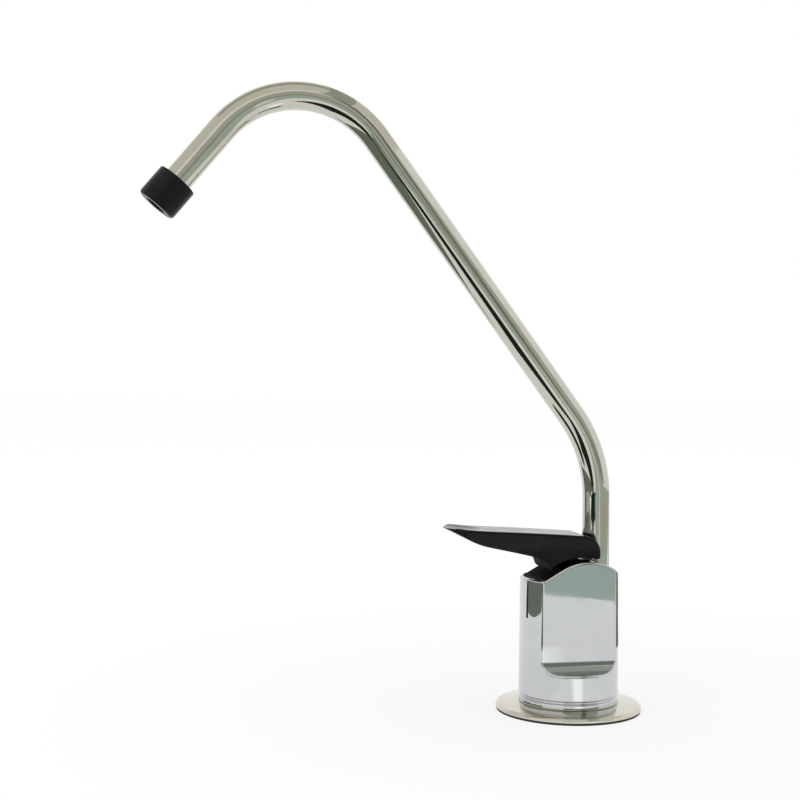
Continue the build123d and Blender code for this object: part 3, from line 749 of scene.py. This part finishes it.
@dataclass
class Lever(SubAssembly):
    """The black lever, moulded with soft edges."""

    body: str = "lever"
    crease: float = 80.0
    voxel: float = 0.3 * MM
    rounds: int = 3
    softening: float = 0.5

    def build(self) -> None:
        """Remesh the lever finely and soften its edges."""
        raw = linked("lever_raw", self.merged("lever"))
        remesh = raw.modifiers.new("even_mesh", "REMESH")
        remesh.mode = "VOXEL"
        remesh.voxel_size = self.voxel
        found = raw.evaluated_get(bpy.context.evaluated_depsgraph_get())
        work = bmesh.new()
        work.from_mesh(found.data)
        bpy.data.objects.remove(raw)
        every = {"use_axis_x": True, "use_axis_y": True, "use_axis_z": True}
        for _ in range(self.rounds):
            bmesh.ops.smooth_vert(work, verts=work.verts, factor=self.softening, **every)
        self.shade(work, self.crease)
        self.dress(linked("lever_moulded", work), "lever")


@dataclass
class Spout(SubAssembly):
    """The swivelling tube with its cap."""

    body: str = "spout"
    smooth_crease: float = 40.0
    tube_r: float = 4.7625 * MM
    bore_r: float = 3.9525 * MM
    tube_segments: int = 72
    rise_y: float = 9.73 * MM
    foot_z: float = 38.5 * MM
    rise_top_z: float = 74.3 * MM
    first_bend_r: float = 48.3 * MM
    first_bend: float = 36.8
    slope: float = 116.95 * MM
    second_bend_r: float = 33.17 * MM
    second_bend: float = 103.4
    bend_step: float = 2.3
    tail: float = 31.0 * MM
    cap_r: float = 6.9525 * MM
    cap_bore_r: float = 3.5025 * MM
    cap_length: float = 11.3 * MM
    cap_overhang: float = 3.2 * MM
    cap_play: float = 0.01 * MM
    cap_bevel: float = 0.3 * MM
    cap_foot_round: float = 1.2 * MM
    cap_top_round: float = 0.4 * MM
    cap_segments: int = 96
    mould_line: float = 0.12 * MM
    mould_line_depth: float = 0.3 * MM
    mould_line_angle: float = 22.5
    mould_line_half: float = 1.0

    def run(
        self, work: bmesh.types.BMesh, edges: list[bmesh.types.BMEdge], along: Vector
    ) -> list[bmesh.types.BMEdge]:
        """Draw loops out along a straight run.

        Args:
            work: the tube's mesh.
            edges: the loops at its end.
            along: the run, in metres.

        Returns:
            The loops at the new end.
        """
        out = bmesh.ops.extrude_edge_only(work, edges=edges)["geom"]
        moved = [item for item in out if isinstance(item, bmesh.types.BMVert)]
        bmesh.ops.translate(work, vec=along, verts=moved)
        return edges_in(out)

    def turn(
        self,
        work: bmesh.types.BMesh,
        edges: list[bmesh.types.BMEdge],
        centre: Vector,
        degrees: float,
    ) -> list[bmesh.types.BMEdge]:
        """Draw loops out round a bend.

        Args:
            work: the tube's mesh.
            edges: the loops at its end.
            centre: the bend's centre.
            degrees: the bend's angle.

        Returns:
            The loops at the new end.
        """
        verts = list({vert for edge in edges for vert in edge.verts})
        spin = {"cent": centre, "axis": (1, 0, 0), "angle": math.radians(degrees)}
        spin["steps"] = round(degrees / self.bend_step)
        return edges_in(bmesh.ops.spin(work, geom=verts + edges, **spin)["geom_last"])

    @staticmethod
    def heading(degrees: float) -> Vector:
        """Direction of the tube after so many degrees of bend."""
        return Vector((0, -math.sin(math.radians(degrees)), math.cos(math.radians(degrees))))

    @staticmethod
    def outward(degrees: float) -> Vector:
        """Direction from a bend's centre to the tube after so many degrees of bend."""
        return Vector((0, math.cos(math.radians(degrees)), math.sin(math.radians(degrees))))

    def tube(self) -> Matrix:
        """The bent tube.

        Returns:
            Where the tube ends, with +Z along it.
        """
        work = bmesh.new()
        foot = Matrix.Translation((0, self.rise_y, self.foot_z))
        for radius in (self.tube_r, self.bore_r):
            circle = {"segments": self.tube_segments, "radius": radius}
            bmesh.ops.create_circle(work, matrix=foot, **circle)
        edges = work.edges[:]
        bmesh.ops.bridge_loops(work, edges=edges)
        edges = self.run(work, edges, Vector((0, 0, self.rise_top_z - self.foot_z)))
        spot = Vector((0, self.rise_y, self.rise_top_z))
        total = self.first_bend + self.second_bend
        centre = spot - self.first_bend_r * self.outward(0)
        edges = self.turn(work, edges, centre, self.first_bend)
        spot = centre + self.first_bend_r * self.outward(self.first_bend)
        edges = self.run(work, edges, self.slope * self.heading(self.first_bend))
        spot += self.slope * self.heading(self.first_bend)
        centre = spot - self.second_bend_r * self.outward(self.first_bend)
        edges = self.turn(work, edges, centre, self.second_bend)
        spot = centre + self.second_bend_r * self.outward(total)
        edges = self.run(work, edges, self.tail * self.heading(total))
        spot += self.tail * self.heading(total)
        bmesh.ops.bridge_loops(work, edges=edges)
        bmesh.ops.recalc_face_normals(work, faces=work.faces)
        self.shade(work, self.smooth_crease)
        self.dress(linked("bent_tube", work), "spout_tube")
        return Matrix.Translation(spot) @ Matrix.Rotation(math.radians(total), 4, "X")

    @staticmethod
    def rounding(corner: Span, radius: float, degrees: Span, steps: int) -> list[Span]:
        """Points along a rounded corner of an outline.

        Args:
            corner: radius and height of the rounding's centre, in metres.
            radius: the rounding's radius.
            degrees: its first and last angle, from the outward direction.
            steps: how many steps it has.

        Returns:
            Radius and height of each point.
        """
        points = []
        for count in range(steps + 1):
            angle = math.radians(degrees[0] + (degrees[1] - degrees[0]) * count / steps)
            across, along = math.cos(angle), math.sin(angle)
            points.append((corner[0] + radius * across, corner[1] + radius * along))
        return points

    def cap(self, tube_end: Matrix) -> None:
        """The black cap over the tube's end, with its mould line.

        Args:
            tube_end: where the tube ends, with +Z along it.
        """
        top = self.cap_overhang - self.cap_length
        foot = self.cap_overhang
        socket_r = self.tube_r + self.cap_play
        outline = [(socket_r, top), (socket_r, 0.0), (self.cap_bore_r, 0.0)]
        outline.append((self.cap_bore_r, foot - self.cap_bevel))
        outline.append((self.cap_bore_r + self.cap_bevel, foot))
        corner = (self.cap_r - self.cap_foot_round, foot - self.cap_foot_round)
        outline += self.rounding(corner, self.cap_foot_round, (90, 0), steps=6)
        corner = (self.cap_r - self.cap_top_round, top + self.cap_top_round)
        outline += self.rounding(corner, self.cap_top_round, (0, -90), steps=4)
        work = bmesh.new()
        self.turned(work, outline, self.cap_segments)
        for vert in work.verts:
            radius = math.hypot(vert.co.x, vert.co.y)
            angle = math.degrees(math.atan2(vert.co.y, vert.co.x))
            outer = radius > self.cap_r - self.mould_line_depth
            if outer and abs(angle - self.mould_line_angle) < self.mould_line_half:
                vert.co.xy *= 1 + self.mould_line / radius
        bmesh.ops.transform(work, matrix=tube_end, verts=work.verts)
        self.shade(work, self.smooth_crease)
        self.dress(linked("outlet_cap", work), "spout_tip")

    def build(self) -> None:
        """The tube, its cap and the fitting in the body."""
        self.cap(self.tube())
        self.skin("spout_end_fitting")


@dataclass(frozen=True)
class FloorCard:
    """A card that lies flat; its length points away from the tap."""

    name: str
    colour: Colour
    azimuth: float
    near: float
    far: float
    width: float
    sideways: float = 0.0
    height: float = 0.5 * MM

    def size(self) -> Span:
        """Length and width, in metres."""
        return (self.far - self.near, self.width)

    def place(self) -> Matrix:
        """Where the card lies, turned about the tap by its azimuth from +X."""
        middle = ((self.near + self.far) / 2, self.sideways, self.height)
        return Matrix.Rotation(math.radians(self.azimuth), 4, "Z") @ Matrix.Translation(middle)


@dataclass(frozen=True)
class WallCard:
    """A card that stands up and faces the tap."""

    name: str
    colour: Colour
    azimuth: float
    distance: float
    middle: float
    width: float
    tall: float

    def size(self) -> Span:
        """Width and height, in metres."""
        return (self.width, self.tall)

    def place(self) -> Matrix:
        """Where the card stands, at its azimuth from +X.

        Returns:
            The card's place, its face towards the tap.
        """
        around = Matrix.Rotation(math.radians(self.azimuth), 4, "Z")
        out = Matrix.Translation((self.distance, 0, self.middle))
        standing = Matrix.Rotation(math.radians(-90), 4, "Y")
        level = Matrix.Rotation(math.radians(90), 4, "Z")
        return around @ out @ standing @ level


@dataclass(frozen=True)
class SoftLamp:
    """A square lamp with soft light."""

    name: str
    place: tuple[float, float, float]
    target: tuple[float, float, float]
    size: float
    power: float


TABLE_CARDS = (
    FloorCard("far_table", srgb(184, 200, 190), 42, 0.247, 1.847, 3.0, -0.2),
    FloorCard("beige_table", srgb(190, 188, 176), 28, 0.4, 1.7, 1.0, 0.52, 0.7 * MM),
    FloorCard("bright_strip", srgb(240, 244, 240), 10, 0.42, 1.62, 0.07, 0.0, 0.9 * MM),
    FloorCard("side_table", srgb(118, 129, 118), -108, 0.215, 1.215, 0.95, -0.06, 0.7 * MM),
    FloorCard("far_side_table", srgb(190, 194, 190), -94, 0.5, 1.5, 0.34, 0.0, 0.9 * MM),
    FloorCard("table_shade", srgb(38, 42, 41), -44, 0.13, 0.43, 0.14, 0.0, 1.1 * MM),
    FloorCard("table_green_shade", srgb(100, 112, 98), -44, 0.43, 0.63, 0.16, 0.0, 1.2 * MM),
    FloorCard("table_far_shade", srgb(38, 42, 41), -44, 0.6, 1.3, 0.46, 0.0, 1.3 * MM),
    FloorCard("dark_stripe", srgb(50, 54, 48), -128, 0.2, 1.4, 0.03, 0.0, 1.5 * MM),
    FloorCard("white_sheet", srgb(255, 255, 255), -130, 0.1, 1.6, 0.8, -0.41, 1.7 * MM),
    FloorCard("brown_stripe", srgb(128, 110, 80), 128, 0.12, 0.72, 0.06, 0.0, 1.1 * MM),
)

# painted highlight: a card in front of the foot that glows brighter than white, seen only in the
# plating, for the bright streak on the foot
PAPER_HIGHLIGHT_CARD = FloorCard("paper_highlight_card", WHITE, 0, 0.028, 0.128, 0.08, 0.0, 0.3 * MM)

ROOM_CARDS = (
    WallCard("camera_side", srgb(60, 64, 60), -21, 0.85, 0.25, 0.24, 0.17),
    WallCard("low_wall", srgb(160, 164, 152), 14, 1.9, 0.15, 3.4, 0.3),
    WallCard("high_wall", srgb(190, 192, 180), 14, 1.9, 0.75, 3.4, 0.9),
    WallCard("side_wall", srgb(140, 146, 134), -110, 1.6, 0.225, 2.0, 0.45),
    WallCard("dark_column", srgb(124, 132, 122), 20.5, 1.8, 0.75, 0.4, 1.2),
    FloorCard("dark_beam", srgb(172, 178, 168), 0, -1.8, 1.8, 0.34, 0.53, 1.35),
    FloorCard("dark_overhead", srgb(172, 174, 160), 180, 0.0, 0.6, 1.6, 0.3, 1.5),
    FloorCard("ceiling", srgb(226, 224, 212), 0, -2.2, 2.2, 4.4, 0.0, 1.9),
)

LAMPS = (
    SoftLamp("top_lamp", (0.1, -0.2, 1.1), (0.0, 0.0, 0.0), 0.9, 2.4),
    SoftLamp("side_lamp", (0.5, -0.9, 0.6), (0.0, 0.0, 0.1), 0.6, 1.3),
)


@dataclass
class Studio:
    """Camera, floor, lamps and the room that the plating mirrors."""

    camera_place: tuple[float, float, float] = (472.0 * MM, -162.5 * MM, 117.3 * MM)
    camera_yaw: float = 77.89
    camera_pitch: float = 1.06
    camera_roll: float = 0.41
    camera_lens: float = 63.6
    camera_near: float = 10 * MM
    sensor_width: float = 36.0
    floor_side: float = 12.0
    floor_drop: float = 0.03 * MM
    floor_colour: Colour = (0.96, 0.96, 0.96, 1.0)
    floor_glow_share: float = 0.76
    # painted shade: the floor's glow rises from the first value near the tap to the second further
    # out
    painted_shade_reach: Span = (0.06, 0.35)
    glow_with_painted_shade: Span = (0.975, 1.07)
    paper_start: float = 17 * MM
    paper_spread: Span = (0.14, 0.32)
    paper_highlight_glow: Span = (1.4, 1.0)
    air_light: float = 0.78

    def camera(self) -> None:
        """Put the camera where the photograph was taken from."""
        yaw = math.radians(self.camera_yaw)
        pitch = math.radians(self.camera_pitch)
        roll = math.radians(self.camera_roll)
        flat = math.cos(pitch)
        ahead = Vector((-math.sin(yaw) * flat, math.cos(yaw) * flat, -math.sin(pitch)))
        level = ahead.cross(Vector((0, 0, 1))).normalized()
        upright = level.cross(ahead)
        right = math.cos(roll) * level + math.sin(roll) * upright
        up = -math.sin(roll) * level + math.cos(roll) * upright
        data = bpy.data.cameras.new("photo_camera")
        data.lens = self.camera_lens
        data.sensor_width = self.sensor_width
        data.clip_start = self.camera_near
        eye = bpy.data.objects.new("photo_camera", data)
        turn = Matrix((right, up, -ahead)).transposed().to_4x4()
        eye.matrix_world = Matrix.Translation(self.camera_place) @ turn
        bpy.context.scene.collection.objects.link(eye)
        bpy.context.scene.camera = eye

    @staticmethod
    def sheet(name: str, size: Span, place: Matrix, paint: bpy.types.Material) -> bpy.types.Object:
        """A flat stage sheet.

        Args:
            name: the sheet's name.
            size: its two sides, in metres.
            place: where it goes, its face along its own +Z.
            paint: its material.

        Returns:
            The sheet's object.
        """
        work = bmesh.new()
        bmesh.ops.create_grid(work, x_segments=1, y_segments=1, size=0.5)
        bmesh.ops.scale(work, vec=(size[0], size[1], 1.0), verts=work.verts)
        bmesh.ops.transform(work, matrix=place, verts=work.verts)
        made = linked(name, work)
        made.data.materials.append(paint)
        return made

    @staticmethod
    def seen_or_mirrored(graph: Graph) -> Wire:
        """1 for what the camera sees straight or in the plating, else 0.

        Args:
            graph: the material's or the world's nodes.

        Returns:
            The value.
        """
        camera = graph.add("ShaderNodeLightPath", {}, {}, "Is Camera Ray")
        glossy = graph.add("ShaderNodeLightPath", {}, {}, "Is Glossy Ray")
        clear = graph.add("ShaderNodeLightPath", {}, {}, "Is Transmission Ray")
        return camera.greatest(glossy).greatest(clear)

    def floor(self) -> None:
        """White floor that keeps a faint shadow of the tap, with painted shade: its glow is dimmer
        near the tap.
        """
        paint, graph = blank("white_floor")
        matt = graph.add("ShaderNodeBsdfDiffuse", {}, {"Color": self.floor_colour})
        length = {"operation": "LENGTH"}
        off = graph.add("ShaderNodeVectorMath", length, {0: graph.place()}, "Value")
        # painted shade: the glow is dimmed towards the tap, on top of the real shadow from the matt
        # share
        strength = graph.band(off, self.painted_shade_reach, self.glow_with_painted_shade)
        white = graph.add("ShaderNodeEmission", {}, {"Color": WHITE, "Strength": strength})
        share = self.seen_or_mirrored(graph) * self.floor_glow_share
        seen = graph.add("ShaderNodeMixShader", {}, {0: share, 1: matt, 2: white})
        graph.add("ShaderNodeOutputMaterial", {}, {"Surface": seen})
        place = Matrix.Translation((0, 0, -self.floor_drop))
        self.sheet("floor", (self.floor_side, self.floor_side), place, paint)

    def card(
        self,
        card: FloorCard | WallCard,
        paint: bpy.types.Material,
        graph: Graph,
        strength: Any = 1.0,
    ) -> None:
        """A glowing card that only the plating's reflections see.

        Args:
            card: the card.
            paint: its material.
            graph: the material's nodes.
            strength: its brightness, where 1 shows the colour as it is.
        """
        glow = graph.add("ShaderNodeEmission", {}, {"Color": card.colour, "Strength": strength})
        graph.add("ShaderNodeOutputMaterial", {}, {"Surface": glow})
        made = self.sheet(card.name, card.size(), card.place(), paint)
        made.visible_camera = False
        made.visible_diffuse = False
        made.visible_shadow = False
        made.visible_transmission = False

    def cards(self) -> None:
        """Tables past the paper, a glowing card in front of the tap that paints a highlight on the
        foot, walls and shapes overhead.
        """
        for card in TABLE_CARDS:
            self.card(card, *blank(card.name))
        paint, graph = blank(PAPER_HIGHLIGHT_CARD.name)
        # painted highlight: the card's glow is strongest straight in front of the foot
        across = graph.axis("Y").size() / (graph.axis("X") - self.paper_start)
        strength = graph.band(across, self.paper_spread, self.paper_highlight_glow)
        self.card(PAPER_HIGHLIGHT_CARD, paint, graph, strength)
        for card in ROOM_CARDS:
            self.card(card, *blank(card.name))

    def lamps(self) -> None:
        """Broad soft lamps above and beside the tap."""
        for spot in LAMPS:
            data = bpy.data.lights.new(spot.name, "AREA")
            data.shape = "SQUARE"
            data.size = spot.size
            data.energy = spot.power
            lamp = bpy.data.objects.new(spot.name, data)
            aim = (Vector(spot.target) - Vector(spot.place)).to_track_quat("-Z", "Y")
            lamp.matrix_world = Matrix.Translation(spot.place) @ aim.to_matrix().to_4x4()
            lamp.visible_glossy = False
            bpy.context.scene.collection.objects.link(lamp)

    def world(self) -> None:
        """White surroundings that light the tap a little less than they show."""
        world = bpy.data.worlds.new("studio_air")
        bpy.context.scene.world = world
        world.use_nodes = True
        graph = Graph(world.node_tree)
        air = {"Color": WHITE, "Strength": self.air_light}
        soft = graph.add("ShaderNodeBackground", {}, air)
        white = graph.add("ShaderNodeBackground", {}, {"Color": WHITE, "Strength": 1.0})
        seen = self.seen_or_mirrored(graph)
        mixed = graph.add("ShaderNodeMixShader", {}, {0: seen, 1: soft, 2: white})
        graph.add("ShaderNodeOutputWorld", {}, {"Surface": mixed})

    def build(self) -> None:
        """Set up the whole studio."""
        bpy.context.scene.view_settings.view_transform = "Standard"
        self.camera()
        self.floor()
        self.cards()
        self.lamps()
        self.world()
        LOG.info("studio ready")


def main() -> None:
    """Dress the tap and set up the studio."""
    logging.basicConfig(level=logging.INFO, format="%(name)s: %(message)s")
    dress_nodes()
    for part in (Faucet(), Underside(), Valve(), Lever(), Spout()):
        part.build()
    Studio().build()


if __name__ == "__main__":
    main()
